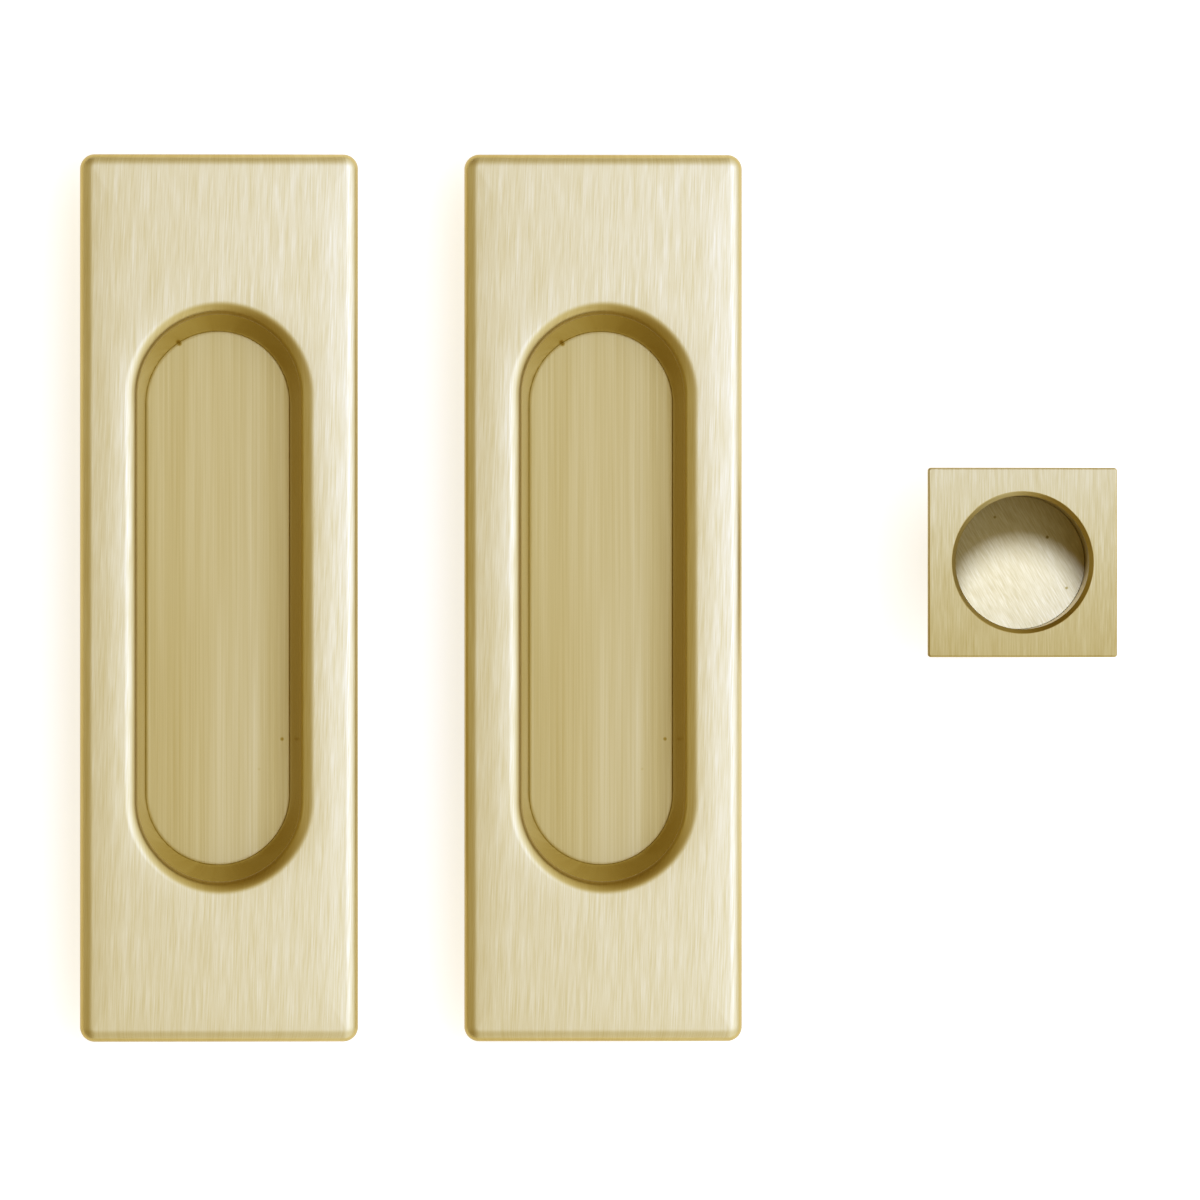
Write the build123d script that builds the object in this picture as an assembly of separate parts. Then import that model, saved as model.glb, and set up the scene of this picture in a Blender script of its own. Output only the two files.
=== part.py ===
from build123d import *
import os

# Flush sliding door pull set: two oblong flush pulls and one square edge pull, all brass.
# The set lies face up, each fitting on the flat back of its own cup at Z = 0.
# Lengths are in millimetres. X runs across the set, Y along the pulls and Z out of their faces.

# Layout of the set: the gaps between its fittings, and how far the edge pull lies up from the middle
PULL_GAP = 18.0
EDGE_PULL_GAP = 31.0
EDGE_PULL_RAISE = 6.0

# Oblong pull, its pressed cover
PULL_WIDTH = 47.0
PULL_LENGTH = 150.0
COVER_HEIGHT = 3.0
COVER_SHEET = 1.0
COVER_CORNER_R = 2.5
COVER_EDGE_R = 2.0
MOUTH_WIDTH = 32.0
MOUTH_LENGTH = 100.5
LIP_R = 2.3
LIP_DEPTH = 2.6

# Oblong pull, its cast cup and floor plate
RECESS_DEPTH = 10.0
FLOOR_WIDTH = 24.4
FLOOR_LENGTH = 90.5
CUP_WALL = 2.0
CUP_FLOOR = 2.2
CUP_BACK_R = 1.0
FLOOR_PLATE = 1.0
SCREW_SPACING = 60.0
SCREW_HOLE_D = 3.6
SCREW_HEAD_D = 7.2

# Square edge pull
EDGE_SIZE = 32.0
EDGE_PLATE = 1.8
EDGE_CORNER_R = 0.5
EDGE_FACE_BREAK = 0.25
EDGE_MOUTH_D = 24.0
EDGE_CHAMFER = 0.7
EDGE_CUP_WALL = 2.7
EDGE_RECESS_DEPTH = 10.0
EDGE_DISC = 1.0
EDGE_SHOULDER = 2.8
EDGE_POCKET_DEPTH = 5.0
EDGE_BACK = 4.0
EDGE_BACK_CHAMFER = 0.8
EDGE_SCREW_HOLE_D = 4.2
EDGE_SCREW_HEAD_D = 8.4

# Clearances
COVER_FIT = 0.10
FLOOR_FIT = 0.05
LIP_SEAT_GAP = 0.05

# Heights that follow from the depths, with the backs on Z = 0
FLOOR_Z = CUP_FLOOR + FLOOR_PLATE
FACE_Z = FLOOR_Z + RECESS_DEPTH
FLANGE_Z = FACE_Z - COVER_HEIGHT
COVER_UNDER_Z = FACE_Z - COVER_SHEET
LIP_END_Z = FACE_Z - LIP_DEPTH
SHOULDER_Z = LIP_END_Z - LIP_SEAT_GAP
EDGE_SHOULDER_Z = EDGE_BACK + EDGE_POCKET_DEPTH
EDGE_FACE_Z = EDGE_SHOULDER_Z + EDGE_DISC + EDGE_RECESS_DEPTH
EDGE_SEAT_Z = EDGE_FACE_Z - EDGE_PLATE

# The straight opening inside the lip, and the edge pull's bore
LIP_WIDTH = MOUTH_WIDTH - 2 * LIP_R
LIP_LENGTH = MOUTH_LENGTH - 2 * LIP_R
EDGE_BORE_R = EDGE_MOUTH_D / 2 - EDGE_CHAMFER

# Places of the three fittings, with the set centred on the origin across its whole width
PULL_SPACING = PULL_WIDTH + PULL_GAP
EDGE_SPACING = PULL_WIDTH / 2 + EDGE_PULL_GAP + EDGE_SIZE / 2
SET_WIDTH = PULL_WIDTH / 2 + PULL_SPACING + EDGE_SPACING + EDGE_SIZE / 2
LEFT_X = (PULL_WIDTH - SET_WIDTH) / 2
CENTRE_X = LEFT_X + PULL_SPACING
EDGE_X = CENTRE_X + EDGE_SPACING


def obround(grow, z):
    """The lip's opening, grown by the same amount on every side, at height z."""
    return Pos(0, 0, z) * SlotOverall(LIP_LENGTH + 2 * grow, LIP_WIDTH + 2 * grow, rotation=90)


def well(grow, z):
    """The recess at height z, grown on every side: it narrows evenly from the lip's opening to the floor."""
    depth = (SHOULDER_Z - z) / (SHOULDER_Z - FLOOR_Z)
    width = LIP_WIDTH + depth * (FLOOR_WIDTH - LIP_WIDTH)
    length = LIP_LENGTH + depth * (FLOOR_LENGTH - LIP_LENGTH)
    return Pos(0, 0, z) * SlotOverall(length + 2 * grow, width + 2 * grow, rotation=90)


def oblong(inset, z):
    """The cover's outline with its rounded corners, taken in by the same amount on every side."""
    width = PULL_WIDTH - 2 * inset
    length = PULL_LENGTH - 2 * inset
    return Pos(0, 0, z) * RectangleRounded(width, length, COVER_CORNER_R - inset)


def round_top(solid, rim_r, lip_r):
    """Rounds the topmost face: its outline by one radius, then the edge of its opening by another."""
    top = solid.faces().sort_by(Axis.Z)[-1]
    solid = solid.fillet(rim_r, top.outer_wire().edges())
    top = solid.faces().sort_by(Axis.Z)[-1]
    return solid.fillet(lip_r, top.inner_wires()[0].edges())


def screw_hole(hole_d, head_d, thickness):
    """The space for a countersunk screw: a straight hole and a 90 degree cone up to the top face."""
    cone_height = (head_d - hole_d) / 2
    hole = Pos(0, 0, thickness / 2) * Cylinder(hole_d / 2, thickness)
    cone = Pos(0, 0, thickness - cone_height / 2) * Cone(hole_d / 2, head_d / 2, cone_height)
    return hole + cone


def make_cover():
    """A pressed sheet: the outside and the hollow under it are rounded about the same centres."""
    outside = extrude(oblong(0, FLANGE_Z) - obround(0, FLANGE_Z), COVER_HEIGHT)
    outside = round_top(outside, COVER_EDGE_R, LIP_R)
    hollow_outline = oblong(COVER_SHEET, FLANGE_Z) - obround(COVER_SHEET, FLANGE_Z)
    hollow = extrude(hollow_outline, COVER_UNDER_Z - FLANGE_Z)
    hollow = round_top(hollow, COVER_EDGE_R - COVER_SHEET, LIP_R - COVER_SHEET)
    below_lip = extrude(obround(COVER_SHEET, FLANGE_Z), LIP_END_Z - FLANGE_Z)
    return outside - hollow - below_lip


def make_cup():
    """A casting: a flange that fills the cover, a seat round the lip and a wall that slopes to the floor."""
    inset = COVER_SHEET + COVER_FIT
    flange = extrude(oblong(inset, FLANGE_Z), COVER_UNDER_Z - FLANGE_Z)
    collar = extrude(obround(CUP_WALL, SHOULDER_Z), COVER_UNDER_Z - SHOULDER_Z)
    lip_seat = extrude(obround(inset, SHOULDER_Z), COVER_UNDER_Z - SHOULDER_Z)
    flange = round_top(flange + collar - lip_seat, COVER_EDGE_R - COVER_SHEET, LIP_R - COVER_SHEET)
    outer = loft([well(CUP_WALL, 0), well(CUP_WALL, SHOULDER_Z)], ruled=True)
    back = outer.faces().sort_by(Axis.Z)[0]
    outer = outer.fillet(CUP_BACK_R, back.edges())
    inner = loft([well(0, CUP_FLOOR), well(0, SHOULDER_Z)], ruled=True)
    cup = flange + outer - inner
    for y in (-SCREW_SPACING / 2, SCREW_SPACING / 2):
        cup -= Pos(0, y, 0) * screw_hole(SCREW_HOLE_D, SCREW_HEAD_D, CUP_FLOOR)
    return cup


def make_floor_plate():
    """A flat sheet that drops into the foot of the cup, with its edge cut to the slope of the wall."""
    return loft([well(-FLOOR_FIT, CUP_FLOOR), well(-FLOOR_FIT, FLOOR_Z)], ruled=True)


def make_edge_body():
    """A square plate and a round cup in one piece, bored from the face in two steps."""
    outline = Pos(0, 0, EDGE_SEAT_Z) * RectangleRounded(EDGE_SIZE, EDGE_SIZE, EDGE_CORNER_R)
    plate = extrude(outline, EDGE_PLATE)
    face = plate.faces().sort_by(Axis.Z)[-1]
    plate = plate.chamfer(EDGE_FACE_BREAK, None, face.edges())
    cup_r = EDGE_BORE_R + EDGE_CUP_WALL
    cup = Pos(0, 0, EDGE_SEAT_Z / 2) * Cylinder(cup_r, EDGE_SEAT_Z)
    back = cup.faces().sort_by(Axis.Z)[0]
    cup = cup.chamfer(EDGE_BACK_CHAMFER, None, back.edges())
    bore_depth = EDGE_FACE_Z - EDGE_SHOULDER_Z
    bore = Pos(0, 0, EDGE_FACE_Z - bore_depth / 2) * Cylinder(EDGE_BORE_R, bore_depth)
    lip = Pos(0, 0, EDGE_FACE_Z - EDGE_CHAMFER / 2) * Cone(EDGE_BORE_R, EDGE_MOUTH_D / 2, EDGE_CHAMFER)
    pocket_r = EDGE_BORE_R - EDGE_SHOULDER
    pocket = Pos(0, 0, EDGE_BACK + EDGE_POCKET_DEPTH / 2) * Cylinder(pocket_r, EDGE_POCKET_DEPTH)
    screw = screw_hole(EDGE_SCREW_HOLE_D, EDGE_SCREW_HEAD_D, EDGE_BACK)
    return plate + cup - bore - lip - pocket - screw


def make_edge_disc():
    """A flat disc that rests on the shoulder at the foot of the bore."""
    return Pos(0, 0, EDGE_SHOULDER_Z + EDGE_DISC / 2) * Cylinder(EDGE_BORE_R - FLOOR_FIT, EDGE_DISC)


pull_pieces = {
    "cover": make_cover(),
    "cup": make_cup(),
    "floor_plate": make_floor_plate(),
}
nodes = {}
for pull, x in (("left_pull", LEFT_X), ("centre_pull", CENTRE_X)):
    for piece, solid in pull_pieces.items():
        nodes[pull + "_" + piece] = Pos(x, 0, 0) * solid
edge_place = Pos(EDGE_X, EDGE_PULL_RAISE, 0)
nodes["edge_pull_body"] = edge_place * make_edge_body()
nodes["edge_pull_floor_disc"] = edge_place * make_edge_disc()

os.makedirs("parts", exist_ok=True)
for name, solid in nodes.items():
    export_step(solid, "parts/" + name + ".step")
    print(name, "volume", round(solid.volume), "mm3")
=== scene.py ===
# %% [markdown]
# The set is three brass fittings for a sliding door, laid out face up: two oblong flush pulls and
# one square edge pull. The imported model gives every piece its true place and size. This script
# dresses those pieces: it rebuilds the visible sheet metal as smooth surfaces and gives each piece
# its brushed or satin finish.

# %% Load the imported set
import bpy
import numpy as np
from mathutils import Matrix, Vector


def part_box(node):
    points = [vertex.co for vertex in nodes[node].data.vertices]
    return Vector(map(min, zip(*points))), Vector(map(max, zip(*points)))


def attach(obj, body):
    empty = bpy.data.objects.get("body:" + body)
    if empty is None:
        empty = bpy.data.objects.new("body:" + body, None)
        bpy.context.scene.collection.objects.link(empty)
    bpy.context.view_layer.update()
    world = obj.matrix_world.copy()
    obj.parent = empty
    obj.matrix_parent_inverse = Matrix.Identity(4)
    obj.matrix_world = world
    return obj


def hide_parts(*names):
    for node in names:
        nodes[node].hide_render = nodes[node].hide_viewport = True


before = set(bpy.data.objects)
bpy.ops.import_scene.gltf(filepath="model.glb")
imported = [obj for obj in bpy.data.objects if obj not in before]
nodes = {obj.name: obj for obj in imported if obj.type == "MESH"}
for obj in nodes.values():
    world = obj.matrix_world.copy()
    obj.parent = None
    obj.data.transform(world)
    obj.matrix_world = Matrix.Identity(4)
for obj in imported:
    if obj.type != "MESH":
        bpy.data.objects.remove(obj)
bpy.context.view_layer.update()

print("nodes:", ", ".join(sorted(nodes)))

# %% [markdown]
# Every surface below is worked out in millimetres, round the middle of its own fitting, and then
# moved to where that fitting lies. The places could be typed in, but read from the boxes of the
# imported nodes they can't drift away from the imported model.

# %% Read the places and sizes of the fittings
MM = 0.001


def box_mm(node):
    """A node's place on the ground plane, its size, and its lowest and highest Z, in
    millimetres."""
    low, high = (np.array(corner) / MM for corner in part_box(node))
    middle = (low + high) / 2
    return np.array([middle[0], middle[1], 0.0]), high - low, low[2], high[2]


places = {pull: box_mm(pull + "_cover")[0] for pull in ("left_pull", "centre_pull")}
_, pull_size, rim_z, face_z = box_mm("left_pull_cover")
_, floor_size, floor_low_z, floor_z = box_mm("left_pull_floor_plate")
edge_place, edge_size, _, edge_face_z = box_mm("edge_pull_body")
_, disc_size, disc_low_z, disc_z = box_mm("edge_pull_floor_disc")
print("cover", np.round(pull_size, 2), "mm, with its face at", round(face_z, 2), "mm")
print("floor plate", np.round(floor_size, 2), "mm, with its top at", round(floor_z, 2), "mm")

# %% [markdown]
# A round-ended slot and a rounded rectangle can share one set of rays. Each ray starts on the
# slot's middle line and points along the slot's own outward normal, so the slot is a fixed distance
# along every ray, and the rectangle is where the ray leaves it. The rays stand close together only
# where the corners need them.

# %% Rays round a slot
CORNER_RAYS = 24
ARC_RAYS = 24
TINY = 1e-9


def quarter_turn(corner_from=45.0, corner_to=45.0):
    """Angles from 0 up to 90 degrees in even steps, finer between two angles that hold a corner."""
    corner_rays = CORNER_RAYS if corner_to > corner_from else 0
    before = np.linspace(0.0, corner_from, ARC_RAYS, endpoint=False)
    corner = np.linspace(corner_from, corner_to, corner_rays, endpoint=False)
    after = np.linspace(corner_to, 90.0, ARC_RAYS, endpoint=False)
    return np.concatenate([before, corner, after])


def slot_rays(half_line, quarter, side_rays=0):
    """Rays once round a line on Y of the given half length: they fan out at its two ends, through
    the angles of a quarter turn and its mirror image, and stand side by side along it. A half
    length of 0 is a circle."""
    half_turn = np.concatenate([quarter, [90.0], 180.0 - quarter[:0:-1]])
    end_y = np.full(len(half_turn), half_line)
    side_y = np.linspace(half_line, -half_line, side_rays + 1)[:side_rays]
    level = np.zeros(side_rays)
    angle = np.radians(np.concatenate([half_turn, level + 180.0, half_turn + 180.0, level]))
    start_y = np.concatenate([end_y, side_y, -end_y, -side_y])
    return np.stack([0 * start_y, start_y], 1), np.stack([np.cos(angle), np.sin(angle)], 1)


def leave_rectangle(start, way, half_x, half_y, corner_r):
    """How far each ray runs until it leaves a rectangle with rounded corners: to the nearer
    straight side, or where that point lies past the end of the side, to the circle of the corner.
    Rows of sizes give rows."""
    dx, dy = np.maximum(np.abs(way), TINY).T
    y0 = start[:, 1] * np.where(way[:, 1] < 0, -1, 1)
    straight = np.minimum(half_x / dx, (half_y - y0) / dy)
    to_x, to_y = half_x - corner_r, half_y - corner_r - y0
    along = to_x * dx + to_y * dy
    curved = along + np.sqrt(np.maximum(along ** 2 - to_x ** 2 - to_y ** 2 + corner_r ** 2, 0))
    past_both = (straight * dx > to_x) & (straight * dy > to_y)
    return np.where(past_both, curved, straight)


# %% [markdown]
# A surface is a grid of points: one row for each step along the section of the metal, and one
# column for each ray. Neighbouring points are joined by quads, and the grid closes on itself round
# the rays. A ring-shaped piece also closes from its last row to its first, and a plate is closed by
# one flat face at each end instead. Cutting solids from one another would be shorter, but it leaves
# long thin faces, and the highlights on polished metal show them.

# %% From a grid of points to a mesh
def grid_piece(name, rows, flat_map, place, ring):
    """Quads between each point, the next along its row and the two above them, and the flat map as
    UV. A ring joins its last row to its first, and any other grid gets one flat face at both
    ends."""
    count, rays = rows.shape[:2]
    index = np.arange(count * rays).reshape(count, rays)
    lower = index if ring else index[:-1]
    upper = np.roll(index, -1, 0) if ring else index[1:]
    quads = np.stack([lower, np.roll(lower, -1, 1), np.roll(upper, -1, 1), upper], -1)
    faces = quads.reshape(-1, 4).tolist()
    if not ring:
        faces += [index[0, ::-1].tolist(), index[-1].tolist()]
    mesh = bpy.data.meshes.new(name)
    mesh.from_pydata(((rows.reshape(-1, 3) + place) * MM).tolist(), [], faces)
    corner_point = np.zeros(len(mesh.loops), np.int32)
    mesh.loops.foreach_get("vertex_index", corner_point)
    layer = mesh.uv_layers.new(name="unrolled")
    layer.data.foreach_set("uv", (flat_map.reshape(-1, 2)[corner_point] * MM).ravel())
    mesh.shade_smooth()
    piece = bpy.data.objects.new(name, mesh)
    bpy.context.scene.collection.objects.link(piece)
    print(name, len(mesh.vertices), "points,", len(mesh.polygons), "faces")
    return piece


def dress(piece, node):
    """The piece stands for its node, which is hidden, and moves with the set's one body."""
    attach(piece, "root")
    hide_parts(node)
    return piece


# %% [markdown]
# The cover of an oblong pull is the piece that gives the set its look. It is one sheet of brass,
# pressed so that its outer edge rolls down to the door and the edge of the finger recess rolls down
# into the cup. Its section is a closed loop of rows: up the outer edge, over the face, down the
# lip, and back along the hidden underside. A row lies at an inset from the outline, at a growth
# from the lip's slot, or at a share between the two. A bevelled slab would look much the same from
# afar, but the rows also say how far the metal has turned, and the finish needs that.

# %% The section of the pressed cover
SHEET = 1.0
RIM_R = 2.0
LIP_R = 2.3
LIP_DEPTH = 2.6
LIP_END_SOFT = 0.25
SOFT = 0.12
FACE_ROWS = 14
ROLL_ROWS = 16
UNDER_ROLL_ROWS = 7
LIP_END_ROWS = 5


def quarter_arc(radius, rows):
    """A quarter circle that rises and levels out: how far in each row lies, and how far below the
    top."""
    turn = np.radians(np.linspace(0, 90, rows))
    return radius * (1 - np.cos(turn)), radius * (1 - np.sin(turn))


def section_rows(inset, grow, share, height):
    """Rows of the section. Each of the four values is one number or an array of them."""
    return np.stack(np.broadcast_arrays(inset, grow, share, height), -1).reshape(-1, 4)


rim_in, rim_drop = quarter_arc(RIM_R, ROLL_ROWS)
lip_in, lip_drop = quarter_arc(LIP_R, ROLL_ROWS)
under_rim_in, under_rim_drop = quarter_arc(RIM_R - SHEET, UNDER_ROLL_ROWS)
under_lip_in, under_lip_drop = quarter_arc(LIP_R - SHEET, UNDER_ROLL_ROWS)
lip_end_in, lip_end_drop = quarter_arc(LIP_END_SOFT, LIP_END_ROWS)
under_z = face_z - SHEET
lip_end_z = face_z - LIP_DEPTH
soft_step = np.array([0, SOFT / 3, SOFT])

outer_rows = np.concatenate([
    section_rows(soft_step[::-1], 0, 0, rim_z + soft_step),
    section_rows(rim_in, 0, 0, face_z - rim_drop),
    section_rows(RIM_R + SOFT, LIP_R + SOFT, 1 - np.linspace(1, 0, FACE_ROWS) ** 2, face_z),
    section_rows(0, lip_in[::-1], 1, face_z - lip_drop[::-1]),
])
under_rows = np.concatenate([
    section_rows(0, lip_end_in, 1, lip_end_z + lip_end_drop),
    section_rows(0, SHEET + under_lip_in, 1, under_z - under_lip_drop),
    section_rows(SHEET + under_rim_in[::-1], 0, 0, under_z - under_rim_drop[::-1]),
    section_rows(SHEET, 0, 0, rim_z),
])
cover_rows = np.concatenate([outer_rows, under_rows])
print("the cover's section has", len(cover_rows), "rows")

# %% [markdown]
# The press leaves the face a hair's breadth higher along its middle than along its sides, which is
# why it shades softly from one side to the other, and draws it down a little before it rolls over
# at its edges. All of these are parabolas: a crown across the width, and a dip near the slot and
# near each side. The flat map lays the rolled edges out level with the face, so that the brush
# lines run on over them without a break.

# %% Carry the section round the rays
CORNER_R = 2.5
CORNER_ANGLES = (57.5, 64.0)
SLOT_R = 13.7
SLOT_HALF_LINE = 34.25
SIDE_RAYS = 10
CROWN = 0.3
SLOT_DIP = 0.18
SLOT_DIP_REACH = 5.5
SIDE_DIP = 0.2
SIDE_DIP_REACH = 6.5

cover_start, cover_way = slot_rays(SLOT_HALF_LINE, quarter_turn(*CORNER_ANGLES), SIDE_RAYS)


def cover_grid():
    """Each row's distance along the rays is the outline's at the row's inset, the slot's at its
    growth, or between the two by its share. The crown lowers the outside by the square of its place
    across the width, and the dips by the square of how near it is to the slot or a side. They fade
    out down the rolled edges."""
    inset, grow, share, height = (column[:, None] for column in cover_rows.T)
    half_x, half_y = pull_size[0] / 2, pull_size[1] / 2
    outline = leave_rectangle(
        cover_start, cover_way, half_x - inset, half_y - inset, CORNER_R - inset)
    reach = (1 - share) * outline + share * (SLOT_R + grow)
    flat = cover_start + reach[..., None] * cover_way
    crown = CROWN * (flat[..., 0] / half_x) ** 2
    slot_dip = SLOT_DIP * np.clip(1 - (reach - SLOT_R) / SLOT_DIP_REACH, 0, 1) ** 2
    to_side = np.array([half_x, half_y]) - np.abs(flat)
    side_dip = SIDE_DIP * (np.clip(1 - to_side / SIDE_DIP_REACH, 0, 1) ** 2).max(-1)
    outside = np.arange(len(cover_rows))[:, None] < len(outer_rows)
    rise = np.where(outside, np.clip((height - lip_end_z) / (face_z - lip_end_z), 0, 1), 0)
    lowered = height - rise * (crown + slot_dip + side_dip)
    drop = (face_z - height) * np.where(share > 0.5, -1, 1)
    unrolled = flat + drop[..., None] * cover_way
    return np.concatenate([flat, lowered[..., None]], -1), unrolled


cover_points, cover_map = cover_grid()
print("the cover's grid has", cover_points.shape[0], "rows of", cover_points.shape[1], "points")

# %% [markdown]
# The rolled edges get painted shade: a deeper gold than the flat face, which stands in for the
# shade that falls on them, most of all at the slot's two ends. The face is also painted a little
# darker towards its lower end. Each point keeps a value that says how much painted shade it has,
# and the finish reads that value. It could be painted on by hand, but the rows of the section
# already say where the metal turns.

# %% Paint shade on the rolled edges and make the covers
LIP_PAINTED_SHADE = 0.7
SLOT_END_PAINTED_SHADE = 1.1
SLOT_END_TURN = (0.0, 0.06)
RIM_START_PAINTED_SHADE = 0.1
RIM_START_TURN = (0.0, 0.1)
RIM_PAINTED_SHADE = 1.3
RIM_TURN = (0.2, 0.35)
RIGHT_RIM_LOSS = 0.7
LOWER_END_PAINTED_SHADE = 0.2


def ramp(value, start, end):
    """Rises from 0 at the start to 1 at the end, and is level before and after."""
    return np.clip((value - start) / (end - start), 0, 1)


def cover_painted_shade():
    """Painted shade. On the lip, the root of how far it has turned down, and a quick rise times the
    square of the way to the slot's ends. On the rim, a slight rise and then a steep one, weaker
    towards the right side. To both comes the square of how low the point lies on the pull."""
    turned = np.clip((face_z - cover_rows[:, 3:]) / LIP_R, 0, 1)
    slot_end = SLOT_END_PAINTED_SHADE * ramp(turned, *SLOT_END_TURN) * cover_way[:, 1] ** 2
    lip = LIP_PAINTED_SHADE * np.sqrt(turned) + slot_end
    rim = RIM_START_PAINTED_SHADE * ramp(turned, *RIM_START_TURN) + RIM_PAINTED_SHADE * ramp(turned, *RIM_TURN)
    rim = rim * (1 - RIGHT_RIM_LOSS * np.clip(cover_way[:, 0], 0, 1))
    lower_end = LOWER_END_PAINTED_SHADE * np.clip(0.5 - cover_map[..., 1] / pull_size[1], 0, 1) ** 2
    return np.where(cover_rows[:, 2:3] > 0.5, lip, rim) + lower_end


def set_painted_shade(piece, painted_shade):
    """Keeps on each point how much its painted shade darkens it below the flat face."""
    layer = piece.data.attributes.new("painted_shade", "FLOAT", "POINT")
    layer.data.foreach_set("value", np.ascontiguousarray(painted_shade, dtype=np.float32).ravel())


# Painted shade on the covers: how much darker each point is painted than the flat face.
deeper = cover_painted_shade()
print("the covers' gold is deeper by up to", round(deeper.max(), 2))
covers = {}
for pull, place in places.items():
    piece = grid_piece(pull + "_pressed_cover", cover_points, cover_map, place, ring=True)
    set_painted_shade(piece, deeper)
    covers[pull] = dress(piece, pull + "_cover")

# %% [markdown]
# The floor plate is a flat blank of brass sheet that drops into the foot of the cup, with its edge
# cut to the slope of the cup's wall. The die that cuts a blank turns its upper edge down a little,
# and that soft edge is the fine line which shows round the plate. The plate is drawn a hair larger
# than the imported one, which keeps the gap at the wall narrow. A filled outline with a bevel could
# make it too, but the grid also gives a flat map for the brush lines.

# %% The floor plates of the two pulls
PLATE_GROW = 0.02
PLATE_SOFT = 0.05
PLATE_ROLL = 0.5
WALL_TAN = 0.37
DIE_ROLL_SLOPE = 0.14
DIE_ROLL_ROWS = 6


def plate_grid(radii, heights, rays, roll_width):
    """A blank's edge from its underside to its top, carried round the rays, with the lower and
    upper radius and height. Near the edge the top turns down along a parabola, and one row each
    side of that curve keeps the shading of the flat parts flat."""
    (low_r, high_r), (low_z, high_z), (start, way) = radii, heights, rays
    roll = np.linspace(1, 0, DIE_ROLL_ROWS)
    depth = DIE_ROLL_SLOPE * roll_width
    roll_r, roll_z = high_r - roll_width * (1 - roll), high_z - depth * roll ** 2
    reach = np.concatenate([[low_r - PLATE_SOFT, low_r, high_r], roll_r, [high_r - 2 * roll_width]])
    height = np.concatenate([[low_z, low_z + PLATE_SOFT, roll_z[0] - PLATE_SOFT], roll_z, [high_z]])
    flat = start + reach[:, None, None] * way
    height = np.broadcast_to(height[:, None, None], flat.shape[:2] + (1,))
    return np.concatenate([flat, height], -1), flat + (high_z - height) * way


plate_r = floor_size[0] / 2 + PLATE_GROW
plate_low_r = plate_r - WALL_TAN * (floor_z - floor_low_z)
plate_rays = slot_rays((floor_size[1] - floor_size[0]) / 2, quarter_turn(), SIDE_RAYS)
plate_heights = (floor_low_z, floor_z)
plate_points, plate_map = plate_grid((plate_low_r, plate_r), plate_heights, plate_rays, PLATE_ROLL)
plates = {}
for pull, place in places.items():
    piece = grid_piece(pull + "_brushed_floor", plate_points, plate_map, place, ring=False)
    plates[pull] = dress(piece, pull + "_floor_plate")

# %% [markdown]
# The edge pull's body is turned and milled from one block: a square plate on a round cup, bored in
# two steps with a countersunk screw hole in its back. All its rings share one centre, so the whole
# body is one section carried round a circle of rays, in which each row is a circle, a square, or a
# share between the two. Cutting it from a box and cylinders would leave its edges sharp. Worked
# edges never quite are, so a helper turns each corner of the section into a small arc.

# %% The section of the edge pull's body
EDGE_PLATE = 1.8
EDGE_BREAK = 0.25
MOUTH_R = 12.0
BORE_R = 11.3
CUP_R = 14.0
POCKET_R = 8.5
POCKET_Z = 4.0
SCREW_HEAD_R = 4.2
SCREW_R = 2.1
SCREW_CONE_Z = 1.9
BACK_BREAK = 0.8
ARC_SIDE = 2.5

half = edge_size[0] / 2
seat_z = edge_face_z - EDGE_PLATE
edge_corners = np.array([
    [half, seat_z, 0], [half, edge_face_z - EDGE_BREAK, 0], [half - EDGE_BREAK, edge_face_z, 0],
    [MOUTH_R, edge_face_z, 1], [BORE_R, edge_face_z - MOUTH_R + BORE_R, 1], [BORE_R, disc_low_z, 1],
    [POCKET_R, disc_low_z, 1], [POCKET_R, POCKET_Z, 1],
    [SCREW_HEAD_R, POCKET_Z, 1], [SCREW_R, SCREW_CONE_Z, 1], [SCREW_R, 0.0, 1],
    [CUP_R - BACK_BREAK, 0.0, 1], [CUP_R, BACK_BREAK, 1], [CUP_R, seat_z, 1],
])
print("the edge pull's section has", len(edge_corners), "corners")


def softened(section, soft):
    """Each corner of a closed section becomes six rows: one a little way off on either side, which
    keeps the shading of the flat parts flat, the two ends of the arc, and two points between on the
    curve that leans towards the corner."""
    def towards(other, distance):
        step = other - section
        return section + step * distance / np.hypot(step[:, 0], step[:, 1])[:, None]

    before, after = np.roll(section, 1, 0), np.roll(section, -1, 0)
    start, end = towards(before, soft), towards(after, soft)
    early, late = (4 * start + 4 * section + end) / 9, (start + 4 * section + 4 * end) / 9
    first, last = towards(before, ARC_SIDE * soft), towards(after, ARC_SIDE * soft)
    return np.stack([first, start, early, late, end, last], 1)


# %% [markdown]
# The face of the plate is bowed by a hair along the brush. Its brush lines run straight over the
# square, and on the bore and the cup the lines of turning run round.

# %% The turned body of the edge pull
EDGE_CORNER_R = 0.5
LEAST_CORNER_R = 0.15
EDGE_CORNER_ANGLES = (43.0, 47.0)
EDGE_SOFT = 0.03
EDGE_CROWN = 0.25
ROUND_SHARE = 0.999
MOUTH_PAINTED_SHADE = 0.6
BREAK_PAINTED_SHADE = 0.15
EDGE_END_PAINTED_SHADE = 0.55

edge_start, edge_way = slot_rays(0.0, quarter_turn(*EDGE_CORNER_ANGLES))


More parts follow.
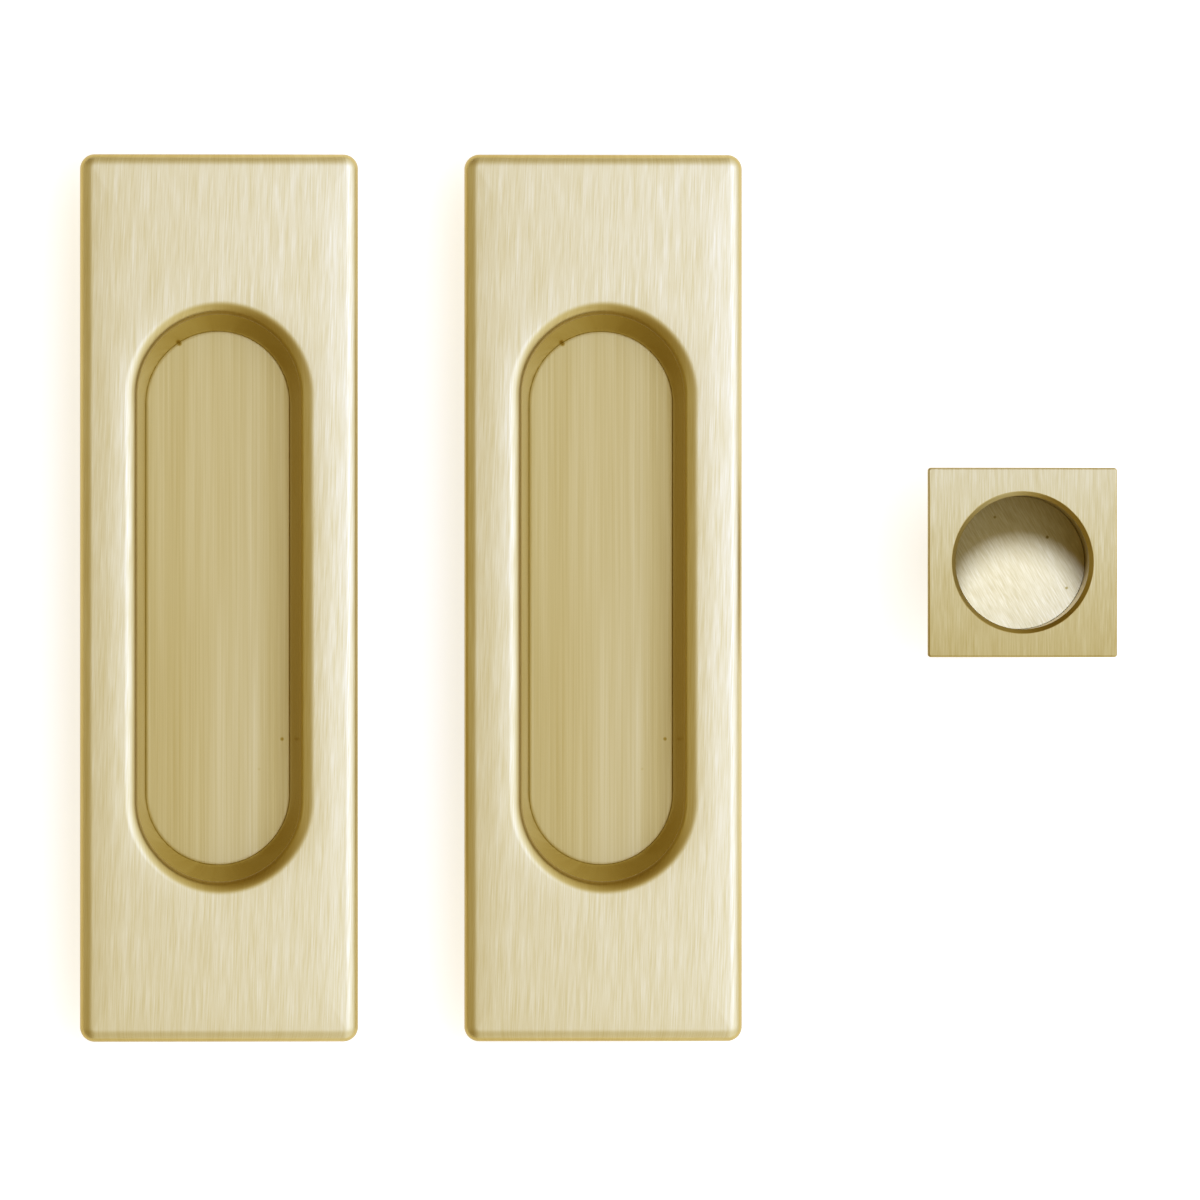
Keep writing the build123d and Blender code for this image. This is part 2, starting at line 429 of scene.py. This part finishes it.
def edge_grid():
    """A row's reach along the rays is the square's of that half width, the circle's of that radius,
    or between the two by its share. The map is the plate's own plane, and on the round rows it is
    the way along the section and the way round the cup."""
    size, height, share = softened(edge_corners, EDGE_SOFT).reshape(-1, 3).T[..., None]
    corner_r = np.maximum(EDGE_CORNER_R - (half - size), LEAST_CORNER_R)
    square = leave_rectangle(edge_start, edge_way, size, size, corner_r)
    flat = ((1 - share) * square + share * size)[..., None] * edge_way
    rise = np.clip((height - seat_z) / (edge_face_z - seat_z), 0, 1)
    lowered = height - EDGE_CROWN * rise * (flat[..., 1] / half) ** 2
    across = np.diff(size, axis=0, prepend=size[:1])
    up = np.diff(height, axis=0, prepend=height[:1])
    along = np.cumsum(np.hypot(across, up), 0)
    around = CUP_R * np.abs(np.arctan2(edge_way[:, 0], edge_way[:, 1]))
    turned_map = np.stack(np.broadcast_arrays(along, around), -1)
    unrolled = np.where(share[..., None] > ROUND_SHARE, turned_map, flat)
    return np.concatenate([flat, lowered[..., None]], -1), unrolled


edge_points, edge_map = edge_grid()
edge_flat = edge_points[..., :2]
in_mouth = np.hypot(edge_flat[..., 0], edge_flat[..., 1]) < MOUTH_R + 2 * EDGE_SOFT
at_edge = np.abs(edge_flat).max(-1) > half - EDGE_BREAK - 2 * EDGE_SOFT
towards_end = -edge_flat[..., 1] / edge_size[1]
piece = grid_piece("edge_pull_turned_body", edge_points, edge_map, edge_place, ring=True)
# Painted shade: the mouth and bore are painted a darker gold, the edge breaks a little darker,
# which dims their highlight, and the face darker towards its lower end.
set_painted_shade(piece, MOUTH_PAINTED_SHADE * in_mouth + BREAK_PAINTED_SHADE * at_edge + EDGE_END_PAINTED_SHADE * towards_end)
edge_body = dress(piece, "edge_pull_body")

# %% [markdown]
# The disc lies on the shoulder of the bore, over the screw. It is a blank like the floor plates, so
# it takes the same grid, round a circle of rays.

# %% The disc in the edge pull
DISC_ROLL = 0.12
disc_r = disc_size[0] / 2
disc_rays = slot_rays(0.0, quarter_turn())
disc_points, disc_map = plate_grid((disc_r, disc_r), (disc_low_z, disc_z), disc_rays, DISC_ROLL)
piece = grid_piece("edge_pull_brushed_disc", disc_points, disc_map, edge_place, ring=False)
edge_disc = dress(piece, "edge_pull_floor_disc")

# %% [markdown]
# Brushed brass is metal with fine lines ground into it along one way. A noise that is drawn out
# along the brush gives such lines. They shift the colour a little, make the metal rougher here and
# smoother there, and tilt its surface by a hair. A second, broader noise gives the drift of tone
# that a whole stroke leaves. A picture of brushed metal could do the same, but it would repeat, and
# a noise doesn't.

# %% Nodes for the finishes
LINE_DETAIL = 4.0
LINE_ROUGHNESS = 0.6
NOISE_LOW = 0.3
NOISE_HIGH = 0.7


def add_node(tree, kind, inputs, **settings):
    """Adds a shader node with its own settings, and fills its inputs with plain values or with
    links."""
    node = tree.nodes.new("ShaderNode" + kind)
    for name, value in settings.items():
        setattr(node, name, value)
    for name, value in inputs.items():
        if isinstance(value, bpy.types.NodeSocket):
            tree.links.new(value, node.inputs[name])
        else:
            node.inputs[name].default_value = value
    return node


def math_node(tree, operation, *values):
    """The result of one step of arithmetic on plain values or links."""
    return add_node(tree, "Math", dict(enumerate(values)), operation=operation).outputs["Value"]


def stretched_noise(tree, flat, across, along, turn):
    """A noise whose spots are stretched to the given millimetres across and along the brush."""
    size = (across * MM, along * MM, along * MM)
    inputs = {"Vector": flat, "Rotation": (0, 0, np.radians(turn)), "Scale": size}
    brush = add_node(tree, "Mapping", inputs, vector_type="TEXTURE").outputs["Vector"]
    noise = {"Vector": brush, "Scale": 1.0, "Detail": LINE_DETAIL, "Roughness": LINE_ROUGHNESS}
    return add_node(tree, "TexNoise", noise).outputs["Fac"]


def spread(tree, value, low, high):
    """Carries the middle part of a noise, where most of it lies, on to the range from low to
    high."""
    middle = {"Value": value, "From Min": NOISE_LOW, "From Max": NOISE_HIGH}
    inputs = {**middle, "To Min": low, "To Max": high}
    return add_node(tree, "MapRange", inputs).outputs["Result"]


def deepened(tree, power, value, low, high, most):
    """Multiplies the power by a factor that grows from 1, where the value is low, to the most,
    where it is high."""
    inputs = {"Value": value, "From Min": low, "From Max": high, "To Min": 1.0, "To Max": most}
    return math_node(tree, "MULTIPLY", power, add_node(tree, "MapRange", inputs).outputs["Result"])


def new_metal(name):
    """A new material of bare metal, with its nodes and its shader."""
    material = bpy.data.materials.new(name)
    material.use_nodes = True
    shader = material.node_tree.nodes["Principled BSDF"]
    shader.inputs["Metallic"].default_value = 1.0
    return material, material.node_tree, shader


# %% [markdown]
# A gold that gets darker also gets richer, so tone is a power of the tint: less than 1 is paler,
# and more is a deeper gold. Where the painted shade is deep, the brush lines fade too, because the
# brush hardly reaches the rolled edges. The floor plates are painted darker towards their sides as
# shade from the cup's walls, centred a little to the right so the left is darker. Small dark specks
# sit on them and on the disc.

# %% The brushed finishes
FADED_SHADE = 0.6
FADED_BRUSH = 0.25
WALL_SHADE_X = 3.0
WALL_SHADE_FROM = 2.0
WALL_SHADE_TO = 12.0
SPECK_CORE = 0.2
ROUGH_SPREAD = 0.04
LINE_BUMP = 0.06
LINE_DEPTH = 0.02


def brass(name, tint, rough, lines, strokes, contrast, drift, turn=0.0, specks=(), painted_wall_shade=0.0):
    """Metal of one tint under a power. Two noises, with sizes (across, along) in millimetres,
    change that power: lines by the contrast and strokes by the drift. The painted shade kept on
    the points deepens it, and so does a speck (x, y, radius, factor). With painted wall shade, a
    plate is painted darker away from its middle, up to that share."""
    material, tree, shader = new_metal(name)
    flat = add_node(tree, "UVMap", {}, uv_map="unrolled").outputs["UV"]
    fine = stretched_noise(tree, flat, *lines, turn)
    broad = stretched_noise(tree, flat, *strokes, turn)
    # The painted shade kept on the points darkens the tone and fades the brush lines.
    painted_shade = add_node(tree, "Attribute", {}, attribute_name="painted_shade").outputs["Fac"]
    fade = {"Value": painted_shade, "From Max": FADED_SHADE, "To Min": 1.0, "To Max": FADED_BRUSH}
    brush = add_node(tree, "MapRange", fade).outputs["Result"]
    change = math_node(
        tree, "ADD", spread(tree, fine, contrast, -contrast), spread(tree, broad, drift, -drift))
    power = math_node(tree, "MULTIPLY_ADD", change, brush, 1.0)
    power = math_node(tree, "MULTIPLY_ADD", power, painted_shade, power)
    # Painted shade: the plate is darker towards the cup's walls, centred a little to the right.
    if painted_wall_shade:
        across = add_node(tree, "SeparateXYZ", {"Vector": flat}).outputs["X"]
        from_middle = math_node(tree, "ABSOLUTE", math_node(tree, "SUBTRACT", across, WALL_SHADE_X * MM))
        power = deepened(tree, power, from_middle, WALL_SHADE_FROM * MM, WALL_SHADE_TO * MM, 1.0 + painted_wall_shade)
    for x, y, radius, factor in specks:
        ends = {0: flat, 1: (x * MM, y * MM, 0.0)}
        away = add_node(tree, "VectorMath", ends, operation="DISTANCE").outputs["Value"]
        power = deepened(tree, power, away, radius * MM, SPECK_CORE * radius * MM, factor)
    colour = add_node(tree, "Gamma", {"Color": (*tint, 1.0), "Gamma": power}).outputs["Color"]
    tree.links.new(colour, shader.inputs["Base Color"])
    roughness = spread(tree, fine, rough + ROUGH_SPREAD, rough - ROUGH_SPREAD)
    tree.links.new(roughness, shader.inputs["Roughness"])
    relief = {"Height": fine, "Strength": LINE_BUMP, "Distance": LINE_DEPTH * MM}
    tilted = add_node(tree, "Bump", relief).outputs["Normal"]
    tree.links.new(tilted, shader.inputs["Normal"])
    print(name, "has", len(tree.nodes), "nodes")
    return material


PLATE_SPECKS = [(10.9, -23.9, 0.4, 2.0), (7.0, -29.0, 0.3, 1.2), (-6.5, 43.1, 0.5, 2.4)]
DISC_SPECKS = [(4.9, 4.3, 0.35, 2.2), (8.2, -4.3, 0.3, 2.0), (-4.0, 7.7, 0.3, 1.8)]
cover_brass = brass(
    "cover_brass", tint=(0.755, 0.67, 0.41), rough=0.33,
    lines=(0.22, 8.0), strokes=(1.2, 22.0), contrast=0.28, drift=0.16, turn=-2.0)
plate_brass = brass(
    "floor_plate_brass", tint=(0.63, 0.52, 0.235), rough=0.42,
    lines=(0.3, 60.0), strokes=(4.0, 120.0), contrast=0.1, drift=0.12,
    specks=PLATE_SPECKS, painted_wall_shade=0.2)
edge_brass = brass(
    "edge_pull_brass", tint=(0.60, 0.50, 0.235), rough=0.33,
    lines=(0.22, 6.0), strokes=(1.6, 16.0), contrast=0.2, drift=0.08)
disc_brass = brass(
    "floor_disc_brass", tint=(0.52, 0.43, 0.185), rough=0.85,
    lines=(0.25, 3.0), strokes=(3.0, 20.0), contrast=0.1, drift=0.06, turn=30.0,
    specks=DISC_SPECKS)

for pull in places:
    covers[pull].data.materials.append(cover_brass)
    plates[pull].data.materials.append(plate_brass)
edge_body.data.materials.append(edge_brass)
edge_disc.data.materials.append(disc_brass)

# %% [markdown]
# The cup is cast and then polished to a smooth satin, with no brush lines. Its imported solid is
# smooth enough to stay as it is, and only its finish is new. A cloudy noise through the solid
# changes its tone and its roughness by very little, because a wall of one even tone looks painted.

# %% The finish of the cups
CUP_TINT = (0.515, 0.395, 0.078)
CUP_CLOUD_SCALE = 60.0
CUP_TONE = (0.98, 1.02)
CUP_ROUGH = (0.16, 0.22)
cup_brass, tree, shader = new_metal("cup_brass")
solid = add_node(tree, "TexCoord", {}).outputs["Object"]
cloud_inputs = {"Vector": solid, "Scale": CUP_CLOUD_SCALE, "Detail": 1.0}
cloud = add_node(tree, "TexNoise", cloud_inputs).outputs["Fac"]
shade = {0: CUP_TINT, "Scale": spread(tree, cloud, *CUP_TONE)}
colour = add_node(tree, "VectorMath", shade, operation="SCALE").outputs["Vector"]
tree.links.new(colour, shader.inputs["Base Color"])
tree.links.new(spread(tree, cloud, *CUP_ROUGH), shader.inputs["Roughness"])
print("cup_brass has", len(tree.nodes), "nodes")
for pull in places:
    cup = nodes[pull + "_cup"]
    cup.data.materials.clear()
    cup.data.materials.append(cup_brass)

# %% [markdown]
# The set lies on a plain white floor. A floor that is white in the picture would need more light
# than the metal can take, so part of its white is its own glow, which only the camera, reflections
# and glass see. It lies a hair below the backs of the cups, so that the two never share a plane.

# %% Floor
FLOOR_GREY = 0.72
FLOOR_ROUGH = 0.9
FLOOR_GLOW = 0.66
FLOOR_HALF = 3.0
FLOOR_Z = -0.05 * MM
SEEN = ("Is Camera Ray", "Is Glossy Ray", "Is Transmission Ray")

scene = bpy.context.scene
scene.view_settings.view_transform = "Standard"

paper = bpy.data.materials.new("white_paper")
paper.use_nodes = True
tree = paper.node_tree
path = add_node(tree, "LightPath", {})
camera_ray, glossy_ray, transmission_ray = (path.outputs[kind] for kind in SEEN)
seen = math_node(tree, "MAXIMUM", camera_ray, glossy_ray)
seen = math_node(tree, "MAXIMUM", seen, transmission_ray)
matt = tree.nodes["Principled BSDF"]
matt.inputs["Base Color"].default_value = (FLOOR_GREY, FLOOR_GREY, FLOOR_GREY, 1)
matt.inputs["Roughness"].default_value = FLOOR_ROUGH
matt.inputs["Specular IOR Level"].default_value = 0.0
matt.inputs["Emission Color"].default_value = (1, 1, 1, 1)
tree.links.new(math_node(tree, "MULTIPLY", seen, FLOOR_GLOW), matt.inputs["Emission Strength"])

corner = np.array([[-1, -1], [1, -1], [1, 1], [-1, 1]]) * FLOOR_HALF
floor_mesh = bpy.data.meshes.new("floor")
floor_mesh.from_pydata([(x, y, FLOOR_Z) for x, y in corner.tolist()], [], [(0, 1, 2, 3)])
floor_mesh.materials.append(paper)
floor = bpy.data.objects.new("floor", floor_mesh)
scene.collection.objects.link(floor)
print("the floor is", 2 * FLOOR_HALF, "m wide")

# %% [markdown]
# Metal shows its surroundings, so the light is mostly a place for it to mirror: a pale tent that is
# bright and cool on the right, plain overhead, and falls off softly to a warm dimness on the left
# and towards both ends. Lamps could light the set too, but each would leave its own spot on the
# brushed faces. The tone of the tent is one run of colours across the set, times another along it.

# %% The tent
ACROSS = [
    (-1.0, 0.58), (-0.77, 0.56), (-0.41, 0.52), (-0.15, 0.82), (0.05, 1.14),
    (0.3, 1.66), (0.6, 1.58), (0.8, 1.42), (0.92, 1.12), (1.0, 0.90),
]
ALONG = [
    (-1.0, 0.75), (-0.64, 0.68), (-0.4, 0.70), (-0.2, 0.84), (0.0, 1.00),
    (0.2, 0.92), (0.53, 0.70), (0.87, 0.54), (1.0, 0.48),
]
GREEN_POWER = 1.3
BLUE_POWER = 2.4
world = bpy.data.worlds.new("tent")
world.use_nodes = True
tree = world.node_tree


def tent_run(way, stops):
    """A run of colours over one part of the direction, which goes from -1 to 1. A stop is a place
    on that run and the strength there, and what is weaker is also warmer."""
    level = add_node(tree, "MapRange", {"Value": way, "From Min": -1.0}).outputs["Result"]
    colours = add_node(tree, "ValToRGB", {"Fac": level})
    marks = colours.color_ramp.elements
    while len(marks) < len(stops):
        marks.new(0.5)
    for mark, (place, strength) in zip(marks, stops):
        mark.position = (place + 1) / 2
        mark.color = (strength, strength ** GREEN_POWER, strength ** BLUE_POWER, 1.0)
    return colours.outputs["Color"]


direction = add_node(tree, "TexCoord", {}).outputs["Generated"]
way = add_node(tree, "SeparateXYZ", {"Vector": direction})
runs = {0: tent_run(way.outputs["X"], ACROSS), 1: tent_run(way.outputs["Y"], ALONG)}
tone = add_node(tree, "VectorMath", runs, operation="MULTIPLY").outputs["Vector"]
tree.links.new(tone, tree.nodes["Background"].inputs["Color"])
scene.world = world
print("the tent has", len(ACROSS), "stops across and", len(ALONG), "along")

# %% [markdown]
# The edge pull's disc has a lamp to itself, above the upper side of the mouth, so that the bore's
# wall throws a soft shadow on it. The lamp is cool, which turns the lit brass almost white, and no
# other piece is lit by it.

# %% Lamp on the disc
LAMP_WAY = Vector((0.0, 0.92, 1.0)).normalized()
LAMP_DISTANCE = 0.8
LAMP_SIZE = 0.3
LAMP_RADIANCE = 94.0
LAMP_COLOUR = (0.85, 1.07, 2.4)
lamp = bpy.data.lights.new("edge_lamp", "AREA")
lamp.shape = "DISK"
lamp.size = LAMP_SIZE
lamp.color = LAMP_COLOUR
lamp.energy = np.pi * (np.pi * LAMP_SIZE ** 2 / 4) * LAMP_RADIANCE
holder = bpy.data.objects.new("edge_lamp", lamp)
holder.location = Vector((*(edge_place[:2] * MM), disc_z * MM)) + LAMP_WAY * LAMP_DISTANCE
holder.rotation_euler = LAMP_WAY.to_track_quat("Z", "Y").to_euler()
scene.collection.objects.link(holder)
lit = bpy.data.collections.new("lit_by_edge_lamp")
lit.objects.link(edge_disc)
holder.light_linking.receiver_collection = lit

# %% [markdown]
# The photograph looks almost straight down, from a long way off and a little from the left, so a
# long lens far above the set gives the same view of the recesses.

# %% Camera
VIEW_WIDTH = 202.9
AIM = Vector((0.35, -0.34, face_z)) * MM
LEAN = Vector((-0.05, 0.0, 1.0)).normalized()
DISTANCE = 3.0
SENSOR = 36.0
CLIP_END = 20.0

camera = bpy.data.objects.new("camera", bpy.data.cameras.new("camera"))
camera.data.sensor_width = SENSOR
camera.data.lens = SENSOR * DISTANCE / (VIEW_WIDTH * MM)
camera.data.clip_end = CLIP_END
up = LEAN.cross((1, 0, 0)).normalized()
turn = Matrix((up.cross(LEAN), up, LEAN)).transposed().to_4x4()
camera.matrix_world = Matrix.Translation(AIM + LEAN * DISTANCE) @ turn
scene.collection.objects.link(camera)
scene.camera = camera
print("lens", round(camera.data.lens, 1), "mm")
